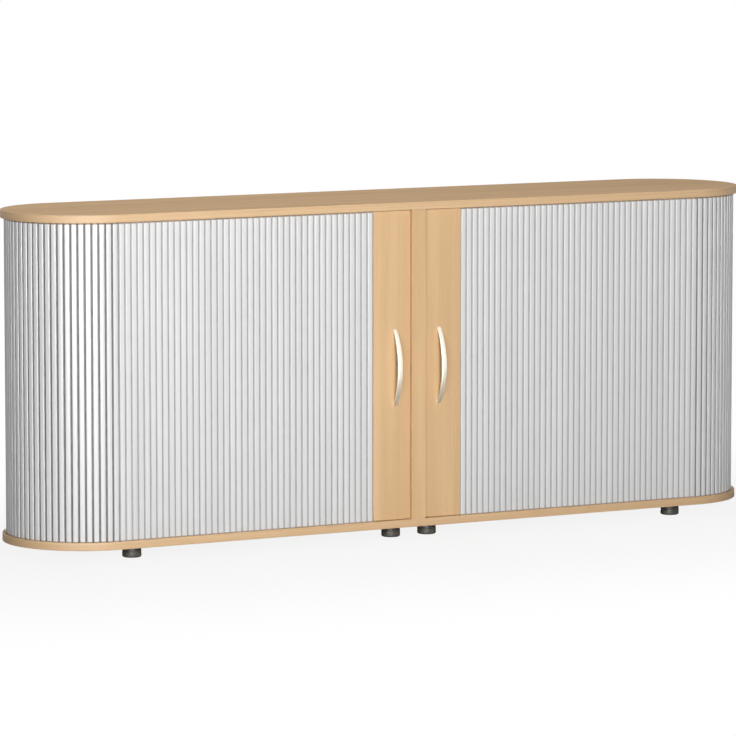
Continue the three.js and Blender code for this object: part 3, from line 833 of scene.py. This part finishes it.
def floor_material():
    material = bpy.data.materials.new("pale_floor")
    material.use_nodes = True
    tree = material.node_tree
    tree.nodes.clear()
    surface = tree.nodes.new("ShaderNodeBsdfDiffuse")
    surface.inputs["Color"].default_value = FLOOR_GREY
    white = tree.nodes.new("ShaderNodeEmission")
    white.inputs["Color"].default_value = WHITE
    place = tree.nodes.new("ShaderNodeTexCoord")
    distance = tree.nodes.new("ShaderNodeVectorMath")
    distance.operation = "LENGTH"
    shape = tree.nodes.new("ShaderNodeVectorMath")
    shape.operation = "MULTIPLY"
    shape.inputs[1].default_value = SHADOW_SHAPE
    tree.links.new(place.outputs["Object"], shape.inputs[0])
    tree.links.new(shape.outputs["Vector"], distance.inputs[0])
    path = tree.nodes.new("ShaderNodeLightPath")
    nearest = tree.nodes.new("ShaderNodeMapRange")
    tree.links.new(path.outputs["Is Camera Ray"], nearest.inputs["Value"])
    nearest.inputs["To Min"].default_value = SHADOW_MIRRORED
    nearest.inputs["To Max"].default_value = SHADOW_WHITE
    growing = tree.nodes.new("ShaderNodeMapRange")
    growing.interpolation_type = "SMOOTHSTEP"
    tree.links.new(distance.outputs["Value"], growing.inputs["Value"])
    tree.links.new(nearest.outputs["Result"], growing.inputs["To Min"])
    growing.inputs["From Min"].default_value = SHADOW_NEAR
    growing.inputs["From Max"].default_value = SHADOW_FAR
    weight = tree.nodes.new("ShaderNodeMath")
    weight.operation = "MULTIPLY"
    tree.links.new(growing.outputs["Result"], weight.inputs[1])
    tree.links.new(seen_directly(tree), weight.inputs[0])
    mix = tree.nodes.new("ShaderNodeMixShader")
    tree.links.new(weight.outputs[0], mix.inputs[0])
    tree.links.new(surface.outputs[0], mix.inputs[1])
    tree.links.new(white.outputs[0], mix.inputs[2])
    out = tree.nodes.new("ShaderNodeOutputMaterial")
    tree.links.new(mix.outputs[0], out.inputs["Surface"])
    return material


floor_ring = []
for i in range(FLOOR_STEPS):
    angle = 2 * math.pi * i / FLOOR_STEPS
    floor_ring.append((FLOOR_RADIUS * math.cos(angle), FLOOR_RADIUS * math.sin(angle), 0))
floor_face = tuple(range(FLOOR_STEPS))
floor = make_piece("pale_floor", floor_ring, [floor_face], floor_material(), smooth=False)
print("floor radius", FLOOR_RADIUS, "m")

# %% [markdown]
# Beyond the floor's edge the surroundings are the same white for the camera and for reflections.
# The light that they give is only a faint, even fill, so the lamps do the rest.

# %% The surroundings
FILL_LEVEL = 0.05

world = bpy.data.worlds.new("studio")
bpy.context.scene.world = world
world.use_nodes = True
sky = world.node_tree
sky.nodes.clear()
fill = sky.nodes.new("ShaderNodeBackground")
fill.inputs["Color"].default_value = WHITE
fill.inputs["Strength"].default_value = FILL_LEVEL
white_around = sky.nodes.new("ShaderNodeBackground")
white_around.inputs["Color"].default_value = WHITE
sky_mix = sky.nodes.new("ShaderNodeMixShader")
sky.links.new(seen_directly(sky), sky_mix.inputs[0])
sky.links.new(fill.outputs[0], sky_mix.inputs[1])
sky.links.new(white_around.outputs[0], sky_mix.inputs[2])
sky_out = sky.nodes.new("ShaderNodeOutputWorld")
sky.links.new(sky_mix.outputs[0], sky_out.inputs["Surface"])
print("fill level", FILL_LEVEL)

# %% [markdown]
# The light in the photograph is soft and mostly frontal: the handles shade the rails straight
# behind them, the slats' shoulders that face forward shine on both bends, and the left bend has a
# broad bright stripe. One soft lamp stands in front, a little to the left, and a wide, weaker one
# further round to the left. Two more stand where the left bend mirrors them towards the camera, at
# 14 and 44 degrees to the left of its front: they give only gloss, and so they make the bright
# stripe without lighting the wood. A small one overhead, a little to the left, keeps the top panel
# a shade darker than the front, and one behind the cabinet serves the views from the back.

# %% Lamps
LEFT_BEND_X = -0.8
BEND_LAMP_REACH = 4.3
BEND_LAMP_HEIGHT = 0.62
BEND_LAMP_POWERS = {14: 140, 44: 90}


def soft_lamp(name, place, aim, width, height, power, only_gloss=False):
    data = bpy.data.lights.new(name, "AREA")
    data.shape = "RECTANGLE"
    data.size = width
    data.size_y = height
    data.energy = power
    lamp = bpy.data.objects.new(name, data)
    lamp.location = place
    lamp.rotation_euler = (Vector(aim) - Vector(place)).to_track_quat("-Z", "Y").to_euler()
    lamp.visible_camera = False
    lamp.visible_diffuse = not only_gloss
    bpy.context.scene.collection.objects.link(lamp)


soft_lamp("front_lamp", (-1.2, -4.6, 1.75), (-0.2, 0, 0.4), width=1.1, height=1.0, power=145)
soft_lamp("left_lamp", (-4.3, -4.3, 0.9), (-0.2, 0, 0.45), width=2.6, height=1.5, power=84)
for azimuth, power in BEND_LAMP_POWERS.items():
    turn = math.radians(azimuth)
    x = LEFT_BEND_X - BEND_LAMP_REACH * math.sin(turn)
    y = -BEND_LAMP_REACH * math.cos(turn)
    soft_lamp(f"bend_lamp_{azimuth}", (x, y, BEND_LAMP_HEIGHT), (LEFT_BEND_X, 0, 0.5),
              width=1.9, height=1.1, power=power, only_gloss=True)
soft_lamp("top_lamp", (-0.35, 0.4, 4.6), (-0.35, 0, 0.8), width=1.2, height=1.2, power=57)
soft_lamp("rear_lamp", (2.4, 4.9, 0.42), (0, 0.2, 0.42), width=2.2, height=0.66, power=200)
print("lamps placed")
